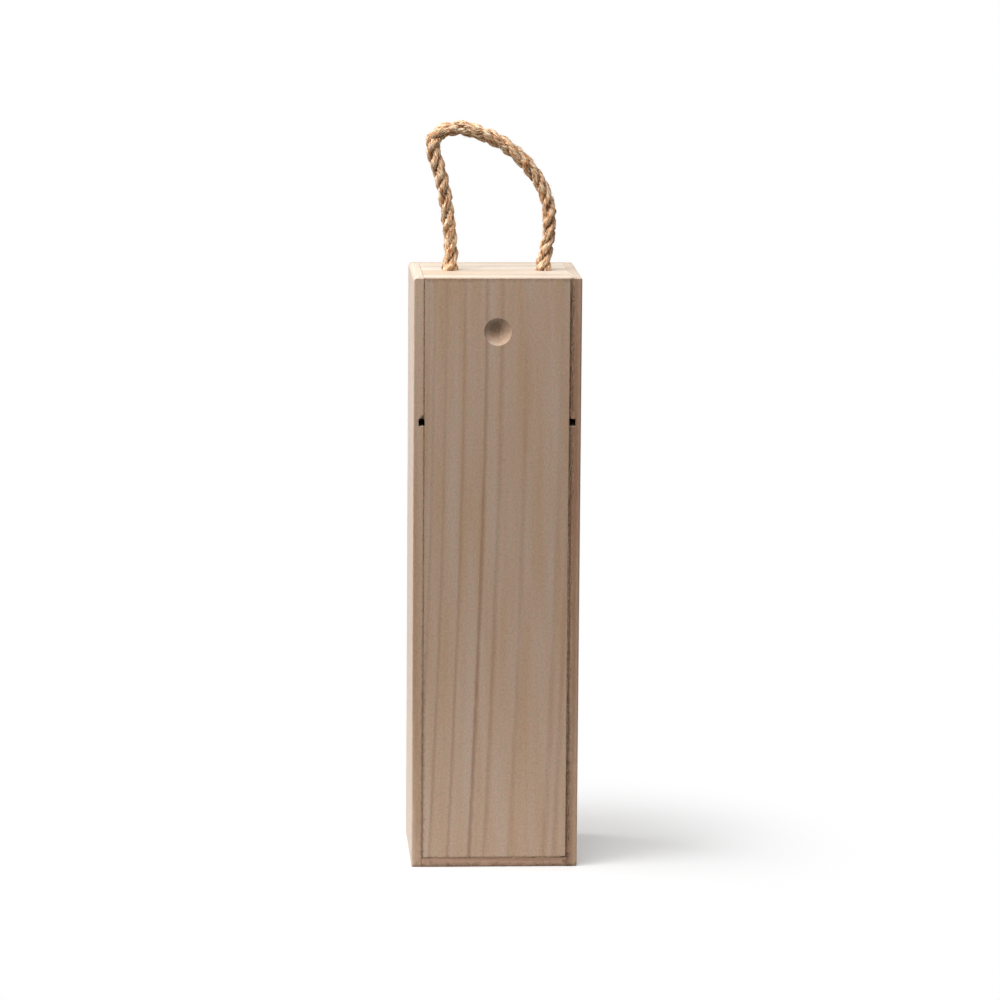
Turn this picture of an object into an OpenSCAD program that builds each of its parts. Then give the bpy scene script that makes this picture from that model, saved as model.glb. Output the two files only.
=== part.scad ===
// Wooden box for one bottle, standing on end, with a sliding lid and a rope handle.
// Millimetres. X runs to the right, Y to the back and Z up. The origin is the middle of the underside.
// The boards are butted, glued and pinned. The lid slides up in grooves and out at the top.

/* [Box] */
// Width over the side boards
box_w = 100; // [90:1:130]
// Depth over the lid and the back panel
box_d = 90; // [84:1:120]
// Height
box_h = 357; // [290:1:440]

/* [Boards] */
// Thickness of each side board
side_t = 6.2; // [5.2:0.1:9]
// Thickness of the top board
top_t = 6.5; // [5:0.1:10]
// Thickness of the bottom board, which is the strip seen under the lid
bottom_t = 5.4; // [4.6:0.1:9]
// Thickness of the back panel
back_t = 5; // [4:0.1:8]

/* [Lid and its grooves] */
// Wood left in front of the groove, and depth of the step round the lid's front
lip_t = 2.5; // [2:0.1:4]
// Thickness of the lid's tongue
tongue_t = 3; // [2:0.1:5]
// Depth of the groove in each side board
groove_depth = 3; // [2:0.1:3.4]
// Depth of the groove in the bottom board
sill_depth = 2.2; // [1.5:0.1:2.6]
// Play between the tongue and each wall of its groove
groove_play = 0.15; // [0.1:0.05:0.4]
// Play between the tongue's edge and the bottom of the side groove
tongue_play = 0.4; // [0.2:0.1:0.8]
// Seam between the lid's face and the left side board
seam_left = 0.4; // [0.2:0.1:1]
// Seam between the lid's face and the right side board
seam_right = 0.8; // [0.2:0.1:1.2]
// Seam under the lid's face at its left end
seam_low = 0.5; // [0.2:0.1:1]
// Extra seam under the lid's face at its right end, which was sawn a little out of square
seam_skew = 0.3; // [0:0.1:1]
// Play behind the lid, in front of the top board
lid_play = 0.35; // [0.3:0.05:1]
// How far the notches in the lid's edges, in front of the open ends of the housings, reach in past the side boards
notch_in = 0.7; // [0.5:0.1:1.2]

/* [Thumb recess] */
// Diameter of the recess at the lid's face
thumb_d = 16.5; // [10:0.5:24]
// Depth of the recess
thumb_depth = 3.8; // [1.5:0.1:4]
// Distance of its middle below the top of the lid
thumb_drop = 32; // [20:1:60]

/* [Neck rest] */
// Thickness of the board that holds the bottle's neck
rest_t = 4; // [3:0.1:6]
// Distance of its underside below the top of the box
rest_drop = 88.6; // [70:0.1:130]
// Play above the board in its housing
rest_play = 0.5; // [0.2:0.1:1]
// Play between the board's ends and the bottoms of the housings
rest_end_play = 0.3; // [0.1:0.1:1]
// Width of the cut-out for the neck
neck_w = 32; // [28:1:44]
// Radius of the corners at the mouth of the cut-out
mouth_r = 3; // [1:0.5:5]
// Distance of its front edge behind the lid, which leaves the front ends of the housings as deep pockets
rest_set_back = 12; // [0:0.5:16]

/* [Rope handle] */
// Diameter of the rope
rope_d = 7.5; // [6:0.1:9]
// How much wider than the rope each hole is drilled
hole_play = 1; // [0.6:0.1:2]
// Distance between the two rope holes
hole_pitch = 56; // [44:1:58]
// How far the pair of holes was drilled off the middle, to the right
hole_shift = 1.5; // [-2:0.5:3]
// Width of the eased rim of each rope hole
rim = 0.8; // [0.2:0.1:1.5]
// Number of turns in each knot
knot_turns = 1.75; // [1.25:0.25:2]
// Length of loose rope left under each knot
knot_end = 9; // [4:1:20]

/* [Brads] */
// Diameter of a brad
brad_d = 1.2; // [1:0.1:1.6]
// Length of a brad
brad_l = 18; // [15:1:22]
// Diameter of its head
brad_head_d = 2; // [1.8:0.1:2.6]
// Thickness of its head
brad_head_t = 0.6; // [0.4:0.1:1]
// How deep the head is punched under the surface
brad_sink = 0.4; // [0.2:0.1:1]
// Distance between the two brads in each end of a top or bottom board
brad_pitch = 50; // [40:1:60]
// Number of brads along each long edge of the back panel
back_brads_n = 4; // [3:1:6]

/* [Eased edges] */
// Radius of the sanded outer edges
ease = 1; // [0.5:0.1:1.5]
// Radius of the worn top corner of the left side board
worn = 2.6; // [1:0.1:3]
// Radius of the edges beside the lid's seams
arris = 0.4; // [0.2:0.1:0.6]
// Width of the bevel that the lid has worn and torn along the right board's inner front edge
torn_w = 1.8; // [0.6:0.1:2]
// Depth of that bevel
torn_depth = 0.9; // [0.5:0.1:1.2]

/* [Hidden] */
$fn = 64;

// Cuts run past a face by this much
past = 1;
front_y = -box_d / 2;
back_y = box_d / 2;
panel_y = back_y - back_t;
inner_x = box_w / 2 - side_t;
housing_x = inner_x + groove_depth;
groove_y = front_y + lip_t;
groove_w = tongue_t + 2 * groove_play;
tongue_y = groove_y + groove_play;
lid_back_y = tongue_y + tongue_t;
behind_lid_y = lid_back_y + lid_play;
sill_z = bottom_t - sill_depth;
under_top_z = box_h - top_t;
rest_z = box_h - rest_drop;
rest_front_y = behind_lid_y + rest_set_back;
housing_h = rest_t + rest_play;
thumb_r = (pow(thumb_d / 2, 2) + pow(thumb_depth, 2)) / (2 * thumb_depth);

rope_r = rope_d / 2;
hole_r = (rope_d + hole_play) / 2;
left_hole_x = hole_shift - hole_pitch / 2;
right_hole_x = hole_shift + hole_pitch / 2;
// The loop tips about a line this far above the top, where its round ends just clear the holes
rope_clear = 0.3;
tip_z = rope_r + rope_clear;
// The knot is drawn up to this far under the top board
knot_seat = 0.2;
// The knot's turns lie this far off the tail, and this far apart
wrap_gap = 0.05;
wrap_pitch = rope_d + 0.45;
steps_a_turn = 20;
knot_top_z = under_top_z - knot_seat;
knot_h = rope_d + knot_turns * wrap_pitch;

brad_r = brad_d / 2;
// Each brad hole is this much wider than its brad all round
brad_fit = 0.02;
top_brad_z = box_h - top_t / 2;
bottom_brad_z = bottom_t / 2;
edge_brad_x = box_w / 2 - side_t / 2;
// The outermost back brads stand this far from the ends of the panel
back_brad_end = 45;
back_brad_step = (box_h - 2 * back_brad_end) / (back_brads_n - 1);

// The rope's route from the left hole to the right one: X, and height above the top board
rope_points = [
    [left_hole_x, tip_z], [-26, 12], [-27, 24], [-28.5, 36], [-30.5, 48], [-33.5, 60], [-36, 68], [-37.3, 73.5],
    [-36.4, 79], [-33, 82.8], [-27.5, 84.8], [-21, 85.5], [-14, 84.2], [-6, 81.4], [2.5, 77.3], [10.5, 71.7],
    [18, 65], [24, 57.5], [29, 49], [32, 40], [33, 31], [32.5, 21], [31, 12], [right_hole_x, tip_z]
];
rope_sides = 12;
knot_sides = 10;
// The rings that round off each end of the loop, in degrees round the ball
cap_steps = [75, 50, 25];

pine = [0.80, 0.70, 0.58];
pale_pine = [0.86, 0.77, 0.65];
jute = [0.76, 0.60, 0.40];
steel = [0.66, 0.66, 0.67];

// A rectangle whose corners have their own radii: low left, low right, high right, high left
module eased_rect(low, high, radii) {
    corners = [low, [high.x, low.y], high, [low.x, high.y]];
    inward = [[1, 1], [-1, 1], [-1, -1], [1, -1]];
    difference() {
        translate(low)
            square(high - low);
        for (k = [0:3])
            translate(corners[k] + inward[k] * (radii[k] - past) / 2)
                square(radii[k] + past, center = true);
    }
    for (k = [0:3])
        translate(corners[k] + inward[k] * radii[k])
            circle(radii[k]);
}

// A flat outline in X and Z, given a thickness from one Y to another
module front_view(y_low, y_high) {
    translate([0, y_high, 0])
        rotate([90, 0, 0])
            linear_extrude(y_high - y_low)
                children();
}

// A flat outline in Y and Z, given a width from one X to another
module side_view(x_low, x_high) {
    translate([x_low, 0, 0])
        rotate([90, 0, 90])
            linear_extrude(x_high - x_low)
                children();
}

// A box between two corners
module block(low, high) {
    translate(low)
        cube(high - low);
}

// A brad that points along Z, with the surface it was driven through at Z = 0
module brad() {
    translate([0, 0, -brad_l - brad_sink])
        cylinder(r = brad_r, h = brad_l);
    translate([0, 0, -brad_head_t - brad_sink])
        cylinder(d = brad_head_d, h = brad_head_t);
}

// The hole that a brad leaves, open at the surface
module brad_hole() {
    translate([0, 0, -brad_l - brad_sink])
        cylinder(r = brad_r + brad_fit, h = brad_l + brad_sink + past);
    translate([0, 0, -brad_head_t - brad_sink])
        cylinder(r = brad_head_d / 2 + brad_fit, h = brad_head_t + brad_sink + past);
}

// Places what follows at each end of a cross board, driven in from both sides
module at_cross_brads(z) {
    for (side = [-1, 1], y = [-brad_pitch / 2, brad_pitch / 2])
        translate([side * box_w / 2, y, z])
            rotate([0, side * 90, 0])
                children();
}

// Places what follows along the back panel's two long edges and in the middle of its short ones
module at_back_brads() {
    for (side = [-1, 1], k = [0:back_brads_n - 1])
        translate([side * edge_brad_x, back_y, back_brad_end + k * back_brad_step])
            rotate([-90, 0, 0])
                children();
    for (z = [top_brad_z, bottom_brad_z])
        translate([0, back_y, z])
            rotate([-90, 0, 0])
                children();
}

// The right side board, eased round its outline, with the lid groove and the neck rest's housing
module side_board(top_r) {
    outer_x = box_w / 2;
    difference() {
        intersection() {
            linear_extrude(box_h)
                eased_rect([inner_x, front_y], [outer_x, panel_y], [arris, ease, arris, arris]);
            front_view(front_y, panel_y)
                eased_rect([inner_x, 0], [outer_x, box_h], [arris, ease, top_r, arris]);
            side_view(inner_x, outer_x)
                eased_rect([front_y, 0], [panel_y, box_h], [ease, arris, arris, ease / 2]);
        }
        block([inner_x - past, groove_y, sill_z], [housing_x, groove_y + groove_w, box_h + past]);
        block([inner_x - past, front_y - past, rest_z], [housing_x, panel_y + past, rest_z + housing_h]);
        at_cross_brads(top_brad_z)
            brad_hole();
        at_cross_brads(bottom_brad_z)
            brad_hole();
        at_back_brads()
            brad_hole();
    }
}

// A splinter broken out of the left board's front edge, above the end of the housing
module chip() {
    chip_w = 2.8;
    chip_h = 2.8;
    chip_depth = 1.2;
    housing_top = rest_z + housing_h;
    front_view(front_y - past, front_y + chip_depth)
        polygon([[1 - inner_x, housing_top - past], [1 - inner_x, housing_top + chip_h],
                 [-inner_x, housing_top + chip_h], [-inner_x - chip_w, housing_top],
                 [-inner_x - chip_w, housing_top - past]]);
}

module left_side() {
    color(pine)
        difference() {
            mirror([1, 0, 0])
                side_board(worn);
            chip();
        }
}

// The torn edge along the right board's lip, from the bottom board up
module torn_edge() {
    translate([0, 0, bottom_t])
        linear_extrude(box_h)
            polygon([[inner_x - past, front_y - past], [inner_x + torn_w, front_y - past],
                     [inner_x + torn_w, front_y], [inner_x, front_y + torn_depth],
                     [inner_x - past, front_y + torn_depth]]);
}

module right_side() {
    color(pine)
        difference() {
            side_board(ease);
            torn_edge();
        }
}

// Lies between the side boards, behind the lid, with the two rope holes
module top_board() {
    color(pale_pine)
        difference() {
            side_view(-inner_x, inner_x)
                eased_rect([behind_lid_y, under_top_z], [panel_y, box_h], [arris, arris, arris, arris]);
            for (x = [left_hole_x, right_hole_x])
                translate([x, 0, under_top_z]) {
                    translate([0, 0, -past])
                        cylinder(r = hole_r, h = top_t + 2 * past);
                    translate([0, 0, top_t - rim])
                        cylinder(r1 = hole_r, r2 = hole_r + rim + past, h = rim + past);
                }
            at_cross_brads(top_brad_z)
                brad_hole();
            at_back_brads()
                brad_hole();
        }
}

// Lies between the side boards and reaches to the front, with the groove that the lid stands in
module bottom_board() {
    color(pine)
        difference() {
            side_view(-inner_x, inner_x)
                eased_rect([front_y, 0], [panel_y, bottom_t], [ease, arris, arris, arris]);
            block([-inner_x - past, groove_y, sill_z], [inner_x + past, groove_y + groove_w, bottom_t + past]);
            at_cross_brads(bottom_brad_z)
                brad_hole();
            at_back_brads()
                brad_hole();
        }
}

// Lies over the back edges of all four boards
module back_panel() {
    color(pine)
        difference() {
            intersection() {
                linear_extrude(box_h)
                    eased_rect([-box_w / 2, panel_y], [box_w / 2, back_y], [arris, arris, ease, ease]);
                front_view(panel_y, back_y)
                    eased_rect([-box_w / 2, 0], [box_w / 2, box_h], [ease, ease, ease, worn]);
                side_view(-box_w / 2, box_w / 2)
                    eased_rect([panel_y, 0], [back_y, box_h], [arris, ease, ease, arris]);
            }
            at_back_brads()
                brad_hole();
        }
}

// The lid's outline from the front, its lower edge a little out of square
module lid_face_outline() {
    left_x = -inner_x + seam_left;
    right_x = inner_x - seam_right;
    polygon([[left_x, bottom_t + seam_low], [right_x, bottom_t + seam_low + seam_skew],
             [right_x, box_h], [left_x, box_h]]);
}

// The lid's face is flush with the box, and a tongue runs round its two sides and its foot
module sliding_lid() {
    tongue_x = housing_x - tongue_play;
    color(pine)
        difference() {
            union() {
                intersection() {
                    linear_extrude(box_h)
                        eased_rect([-inner_x + seam_left, front_y], [inner_x - seam_right, lid_back_y],
                                   [arris, arris, arris, arris]);
                    side_view(-inner_x, inner_x)
                        eased_rect([front_y, bottom_t], [lid_back_y, box_h], [arris, arris, arris, arris]);
                    front_view(front_y, lid_back_y)
                        lid_face_outline();
                }
                intersection() {
                    linear_extrude(box_h)
                        eased_rect([-tongue_x, tongue_y], [tongue_x, lid_back_y], [arris, arris, arris, arris]);
                    side_view(-tongue_x, tongue_x)
                        eased_rect([tongue_y, sill_z], [lid_back_y, box_h], [arris, arris, arris, arris]);
                }
            }
            translate([0, front_y + thumb_depth - thumb_r, box_h - thumb_drop])
                sphere(r = thumb_r);
            for (side = [-1, 1])
                mirror([side < 0 ? 1 : 0, 0, 0])
                    block([inner_x - notch_in, front_y - past, rest_z], [box_w / 2, behind_lid_y, rest_z + housing_h]);
        }
}

// Slides into the housings from the front, and holds the bottle by its neck
module neck_rest() {
    rest_x = housing_x - rest_end_play;
    neck_r = neck_w / 2;
    color(pale_pine)
        translate([0, 0, rest_z])
            linear_extrude(rest_t)
                difference() {
                    eased_rect([-rest_x, rest_front_y], [rest_x, panel_y], [arris, arris, arris, arris]);
                    circle(neck_r);
                    translate([-neck_r, rest_front_y - past])
                        square([neck_w, past - rest_front_y]);
                    for (side = [-1, 1])
                        difference() {
                            translate([side * neck_r, rest_front_y])
                                square(2 * mouth_r, center = true);
                            translate([side * (neck_r + mouth_r), rest_front_y + mouth_r])
                                circle(mouth_r);
                        }
                }
}

// A vector of the same direction, one long
function unit(v) = v / norm(v);

// Direction of a route at one of its points
function heading(points, k) = unit(points[min(k + 1, len(points) - 1)] - points[max(k - 1, 0)]);

// One ring of a tube: points round a centre, square to the heading, counted from a side that faces away from level
function ring(centre, direction, level, radius, sides) =
    let (across = unit(cross(level, direction)), over = cross(direction, across))
    [for (j = [0:sides - 1]) centre + radius * (across * cos(360 * j / sides) + over * sin(360 * j / sides))];

// A tube along a route, rounded off at both ends; level is a vector that the route never runs along
module rope_tube(points, level, radius, sides) {
    last = len(points) - 1;
    first_way = heading(points, 0);
    last_way = heading(points, last);
    rings = concat(
        [for (a = cap_steps)
            ring(points[0] - first_way * radius * sin(a), first_way, level, radius * cos(a), sides)],
        [for (k = [0:last])
            ring(points[k], heading(points, k), level, radius, sides)],
        [for (i = [len(cap_steps) - 1:-1:0])
            let (a = cap_steps[i])
            ring(points[last] + last_way * radius * sin(a), last_way, level, radius * cos(a), sides)]
    );
    count = len(rings);
    walls = [
        for (k = [0:count - 2], j = [0:sides - 1])
            let (next = (j + 1) % sides)
            [k * sides + j, (k + 1) * sides + j, (k + 1) * sides + next, k * sides + next]
    ];
    ends = [
        [for (j = [0:sides - 1]) j],
        [for (j = [sides - 1:-1:0]) (count - 1) * sides + j]
    ];
    polyhedron(points = [for (r = rings) each r], faces = concat(walls, ends), convexity = 8);
}

// The loop above the box, which tips forward and back about the line through its two ends
module rope_handle() {
    color(jute)
        rope_tube([for (p = rope_points) [p.x, 0, box_h + p[1]]], [0, 1, 0], rope_r, rope_sides);
}

// The rope's end, from the mouth of its hole down through its knot
module rope_tail(x) {
    color(jute)
        translate([x, 0, knot_top_z - knot_h - knot_end])
            cylinder(r = rope_r, h = box_h - knot_top_z + knot_h + knot_end);
}

module left_rope_tail() {
    rope_tail(left_hole_x);
}

module right_rope_tail() {
    rope_tail(right_hole_x);
}

// A stopper knot's turns, wound down the tail from under the top board
module knot(x, start) {
    turn_r = rope_d + wrap_gap;
    steps = round(knot_turns * steps_a_turn);
    wound = [
        for (k = [0:steps])
            let (angle = start + 360 * k / steps_a_turn)
            [x + turn_r * cos(angle), turn_r * sin(angle), knot_top_z - rope_r - wrap_pitch * k / steps_a_turn]
    ];
    color(jute)
        rope_tube(wound, [0, 0, 1], rope_r, knot_sides);
}

module left_knot() {
    knot(left_hole_x, 250);
}

module right_knot() {
    knot(right_hole_x, 290);
}

module top_brads() {
    color(steel)
        at_cross_brads(top_brad_z)
            brad();
}

module bottom_brads() {
    color(steel)
        at_cross_brads(bottom_brad_z)
            brad();
}

module back_brads() {
    color(steel)
        at_back_brads()
            brad();
}

left_side();
right_side();
top_board();
bottom_board();
back_panel();
sliding_lid();
neck_rest();
rope_handle();
left_rope_tail();
right_rope_tail();
left_knot();
right_knot();
top_brads();
bottom_brads();
back_brads();
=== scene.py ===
"""Looks of a wooden box for one bottle, with a sliding lid and a rope handle, built round its CAD part.

Metres, Z up, the lid towards -Y. Sizes in the classes are in millimetres, as on the part's drawing.
"""

import logging
import math
from dataclasses import dataclass, field
from enum import Enum

import bpy
import numpy as np
from mathutils import Matrix, Vector


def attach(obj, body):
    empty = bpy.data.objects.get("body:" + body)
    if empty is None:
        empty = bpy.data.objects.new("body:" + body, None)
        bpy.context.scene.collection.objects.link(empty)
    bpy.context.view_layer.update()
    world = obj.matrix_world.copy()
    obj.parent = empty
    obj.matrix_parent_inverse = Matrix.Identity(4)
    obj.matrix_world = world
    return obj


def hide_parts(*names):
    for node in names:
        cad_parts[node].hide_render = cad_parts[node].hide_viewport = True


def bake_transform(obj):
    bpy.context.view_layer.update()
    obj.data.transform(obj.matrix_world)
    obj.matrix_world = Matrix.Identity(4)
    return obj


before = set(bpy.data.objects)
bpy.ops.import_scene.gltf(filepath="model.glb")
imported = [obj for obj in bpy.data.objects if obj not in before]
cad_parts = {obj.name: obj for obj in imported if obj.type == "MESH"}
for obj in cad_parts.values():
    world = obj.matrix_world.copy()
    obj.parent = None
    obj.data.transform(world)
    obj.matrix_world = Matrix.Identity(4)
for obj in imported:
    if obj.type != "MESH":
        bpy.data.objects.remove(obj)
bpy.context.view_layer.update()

MM = 0.001
log = logging.getLogger("wine_box")

Tree = bpy.types.NodeTree
# What can be linked to a node: one of another node's outputs, or the node itself for its first one
Feed = bpy.types.NodeSocket | bpy.types.Node


def srgb(colour: str) -> tuple[float, float, float, float]:
    """Turns an sRGB hex colour into Blender's linear one.

    Args:
        colour: Six hex digits after a hash sign.

    Returns:
        Linear red, green and blue, and an alpha of one.
    """
    parts = [int(colour[k:k + 2], 16) / 255 for k in (1, 3, 5)]
    linear = [c / 12.92 if c <= 0.04045 else ((c + 0.055) / 1.055) ** 2.4 for c in parts]
    return (*linear, 1.0)


def add(tree: Tree, kind: str, inputs: dict | None = None, **settings) -> bpy.types.Node:
    """Adds one shader node with its settings and its links.

    Args:
        tree: The node tree that takes it.
        kind: The node's type without the word ShaderNode.
        inputs: A value, or another node or its output to link, for each input socket's name or number.
        settings: The node's own properties.

    Returns:
        The new node.
    """
    node = tree.nodes.new("ShaderNode" + kind)
    for name, value in settings.items():
        setattr(node, name, value)
    for socket, value in (inputs or {}).items():
        if isinstance(value, Feed):
            tree.links.new(value.outputs[0] if isinstance(value, bpy.types.Node) else value, node.inputs[socket])
        else:
            node.inputs[socket].default_value = value
    return node


def emptied(made: bpy.types.Material | bpy.types.World) -> Tree:
    """Turns a new material or world over to nodes.

    Args:
        made: The material or world.

    Returns:
        Its node tree, with nothing in it.
    """
    made.use_nodes = True
    made.node_tree.nodes.clear()
    return made.node_tree


def placed(name: str, data: bpy.types.ID) -> bpy.types.Object:
    """Puts a mesh, a lamp or a camera in the scene.

    Args:
        name: The object's name.
        data: What it shows.

    Returns:
        The object.
    """
    made = bpy.data.objects.new(name, data)
    bpy.context.scene.collection.objects.link(made)
    return made


def dress(node: str, finish: bpy.types.Material) -> None:
    """Gives a part of the CAD model its finish.

    Args:
        node: The part's name.
        finish: Its material.
    """
    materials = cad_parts[node].data.materials
    materials.clear()
    materials.append(finish)
    log.info("%s in %s", node, finish.name)


def run_along(points: np.ndarray) -> np.ndarray:
    """The distance from a line's first point to each of its points."""
    return np.concatenate([[0.0], np.cumsum(np.linalg.norm(np.diff(points, axis=0), axis=1))])


def ripple(along: np.ndarray, waves: tuple[float, ...], rng: np.random.Generator) -> np.ndarray:
    """A smooth uneven wave that stays between -1 and 1.

    Args:
        along: Distances at which it is wanted, in millimetres.
        waves: The wavelengths that it is made of, in millimetres.
        rng: Where its phases come from.

    Returns:
        Its height at each distance.
    """
    phases = rng.uniform(0, 2 * math.pi, len(waves))
    return sum(np.sin(2 * math.pi * along / w + p) for w, p in zip(waves, phases)) / len(waves)


class Grain(Enum):
    """The axes along a board's width, thickness and length, the grain running along the last."""

    UPRIGHT_FRONT = ("X", "Y", "Z")
    UPRIGHT_SIDE = ("Y", "X", "Z")
    LEVEL = ("Y", "Z", "X")


@dataclass(frozen=True)
class Ring:
    """One growth ring's dark late wood."""

    # Distance from the pith, in millimetres, and how dark it is there, from 0 to 1
    radius: float
    depth: float
    # Over how many millimetres it darkens on the side of the pith, and turns pale again on the other
    rise: float
    fall: float


def growth_rings(first: float, pitch: float, count: int, seed: int) -> tuple[Ring, ...]:
    """Growth rings of uneven width, slow to darken and quick to turn pale again.

    Args:
        first: Distance of the innermost from the pith.
        pitch: Mean width of a ring.
        count: How many there are, ten at the most.
        seed: Picks their widths and depths.

    Returns:
        The rings, from the pith outwards.
    """
    rng = np.random.default_rng(seed)
    rings, radius = [], first
    for _ in range(count):
        width = pitch * rng.uniform(0.7, 1.3)
        radius += width
        rings.append(Ring(radius, rng.uniform(0.25, 0.8), rise=0.45 * width, fall=0.16 * width))
    return tuple(rings)


@dataclass(frozen=True)
class GrimeAndShade:
    """Painted shade along an edge, with soiling rubbed into the pores."""

    # A point on the edge, and the axis that the edge follows
    at: tuple[float, float, float]
    along: str
    # How far it spreads from the edge, in millimetres, and how much of it there is, from 0 to 1
    reach: float
    depth: float
    # Along the edge it is deepest up to the first of these, and down to a quarter beyond the second
    fade: tuple[float, float] = (1000.0, 2000.0)


@dataclass(frozen=True)
class Scoop:
    """A recess cut by a ball-nosed cutter: where its bottom is, and how far from there painted shade darkens it."""

    x: float
    bottom: float
    z: float
    radius: float


@dataclass(frozen=True)
class PlanedPine:
    """Planed and sanded pine without varnish: pale early wood, browner late wood, and fibres along the grain.

    It looks dry and matt, and the ends of the fibres at a sawn end are darker and rougher than the faces.
    """

    name: str
    grain: Grain
    # Where the tree's pith runs by the board's width and thickness, its growth rings, how far the pith leans with
    # every millimetre along the grain, and how much that lean itself changes
    pith: tuple[float, float]
    rings: tuple[Ring, ...]
    lean: tuple[float, float] = (0.0, 0.0)
    sweep: float = 0.0
    # How far the rings stray over a hand's breadth, and fray over a few millimetres
    wander: float = 1.2
    fray: float = 0.9
    early: str = "#ccab99"
    fresh: str = "#c4b098"
    late: str = "#8c6448"
    ruddy: str = "#c29f80"
    # Colours of a pale painted sheen on the wide faces and of the sawn ends, with how far each covers the others
    face_sheen: tuple[str, float] = ("#d9cdc4", 0.0)
    sawn: tuple[str, float] = ("#b4967c", 0.3)
    # Painted shade along seams, feet and open ends, with soiling, and its colour
    grime_and_shade: tuple[GrimeAndShade, ...] = ()
    dirt_and_shade: str = "#4f3019"
    scoop: Scoop | None = None
    # Distances along the grain between which the rings grow paler
    pale_from: tuple[float, float] = (1000.0, 2000.0)

    def streaks(self, tree: Tree, board: Feed, across: float, along: float, detail: float = 2.0) -> Feed:
        """Noise drawn out along the grain.

        Args:
            tree: The material's nodes.
            board: Place in the board, in millimetres.
            across: Width of a streak.
            along: Length of a streak.
            detail: How many finer layers lie over it.

        Returns:
            A node whose first output runs from 0 to 1.
        """
        squeezed = add(tree, "VectorMath", {0: board, 1: (1 / across, 1 / across, 1 / along)}, operation="MULTIPLY")
        return add(tree, "TexNoise", {"Vector": squeezed, "Scale": 1.0, "Detail": detail})

    def late_wood(self, tree: Tree, board: Feed, length: Feed) -> Feed:
        """How much of the late wood's colour shows, from the distance to the tree's leaning pith.

        Args:
            tree: The material's nodes.
            board: Place in the board, in millimetres.
            length: Its part along the grain.

        Returns:
            A node whose first output runs from 0 to 1.
        """
        bend = add(tree, "Math", {0: length, 1: self.sweep, 2: self.lean[0]}, operation="MULTIPLY_ADD")
        aside = add(tree, "Math", {0: bend, 1: length, 2: self.pith[0]}, operation="MULTIPLY_ADD")
        behind = add(tree, "Math", {0: length, 1: self.lean[1], 2: self.pith[1]}, operation="MULTIPLY_ADD")
        pith = add(tree, "CombineXYZ", {0: aside, 1: behind, 2: length})
        away = add(tree, "VectorMath", {0: board, 1: pith}, operation="DISTANCE")
        uneven = self.streaks(tree, board, 26, 170)
        radius = add(tree, "Math", {0: uneven, 1: 2 * self.wander, 2: away.outputs["Value"]},
                     operation="MULTIPLY_ADD")
        ragged = self.streaks(tree, board, 2.5, 7)
        radius = add(tree, "Math", {0: ragged, 1: self.fray, 2: radius}, operation="MULTIPLY_ADD")
        # Both kinds of unevenness only add, so that the rings are moved out by their mean
        shift = self.wander + self.fray / 2
        first = self.rings[0].radius - self.rings[0].rise + shift
        span = self.rings[-1].radius + self.rings[-1].fall + shift - first
        share = add(tree, "MapRange", {0: radius, 1: first, 2: first + span}, clamp=False)
        turn = add(tree, "Math", {0: share}, operation="FRACT")
        ramp = add(tree, "ValToRGB", {0: turn})
        stops = [(0.0, 0.0)]
        for ring in self.rings:
            middle = ring.radius + shift - first
            low = max((middle - ring.rise) / span, stops[-1][0] + 0.001)
            stops += [(low, 0.0), (middle / span, ring.depth), ((middle + ring.fall) / span, 0.0)]
        stops = stops[1:-1] + [(1.0, 0.0)]
        elements = ramp.color_ramp.elements
        ramp.color_ramp.interpolation = "EASE"
        elements[0].position, elements[1].position = 0.0, 1.0
        for k, (position, depth) in enumerate(stops):
            stop = elements[k] if k in (0, len(stops) - 1) else elements.new(min(position, 1.0))
            stop.position = min(position, 1.0)
            stop.color = (depth, depth, depth, 1.0)
        return ramp

    def rubbed_in_and_shaded(self, tree: Tree, body: Feed, near: Feed, pores: Feed, fading: Feed) -> Feed:
        """Darkens the wood with painted shade and soiling.

        Args:
            tree: The material's nodes.
            body: The colour that is darkened.
            near: How much painted shade and soiling there is.
            pores: How much more of it stays in the pores.
            fading: Share of it that is left.

        Returns:
            The darkened colour.
        """
        share = add(tree, "Math", {0: near, 1: pores}, operation="MULTIPLY", use_clamp=True)
        share = add(tree, "Math", {0: share, 1: fading}, operation="MULTIPLY")
        return add(tree, "Mix", {"Factor": share, 6: body, 7: srgb(self.dirt_and_shade)}, data_type="RGBA").outputs[2]

    def soiled_and_shaded(self, tree: Tree, place: Feed, body: Feed, grit: Feed, line: GrimeAndShade) -> Feed:
        """Paints shade along one edge, with soiling.

        Args:
            tree: The material's nodes.
            place: Place in the part's frame, in millimetres.
            body: The colour that is darkened.
            grit: Where the pores are.
            line: The edge.

        Returns:
            The darkened colour.
        """
        mask = tuple(0.0 if axis == line.along else 1.0 for axis in "XYZ")
        flat = add(tree, "VectorMath", {0: place, 1: mask}, operation="MULTIPLY")
        away = add(tree, "VectorMath", {0: flat, 1: tuple(a * m for a, m in zip(line.at, mask))},
                   operation="DISTANCE")
        patchy = add(tree, "TexNoise", {"Vector": place, "Scale": 0.35, "Detail": 3.0})
        ragged = add(tree, "Math", {0: patchy, 1: -2.2 * line.reach, 2: away.outputs["Value"]},
                     operation="MULTIPLY_ADD")
        near = add(tree, "MapRange", {0: ragged, 1: -1.1 * line.reach, 2: 0.0, 3: line.depth, 4: 0.0})
        pores = add(tree, "Math", {0: grit, 1: -1.2, 2: 1.5}, operation="MULTIPLY_ADD")
        axis = add(tree, "SeparateXYZ", {0: place}).outputs[line.along]
        faded = add(tree, "MapRange", {0: axis, 1: line.fade[0], 2: line.fade[1], 3: 1.0, 4: 0.25})
        return self.rubbed_in_and_shaded(tree, body, near, pores, faded)

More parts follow.
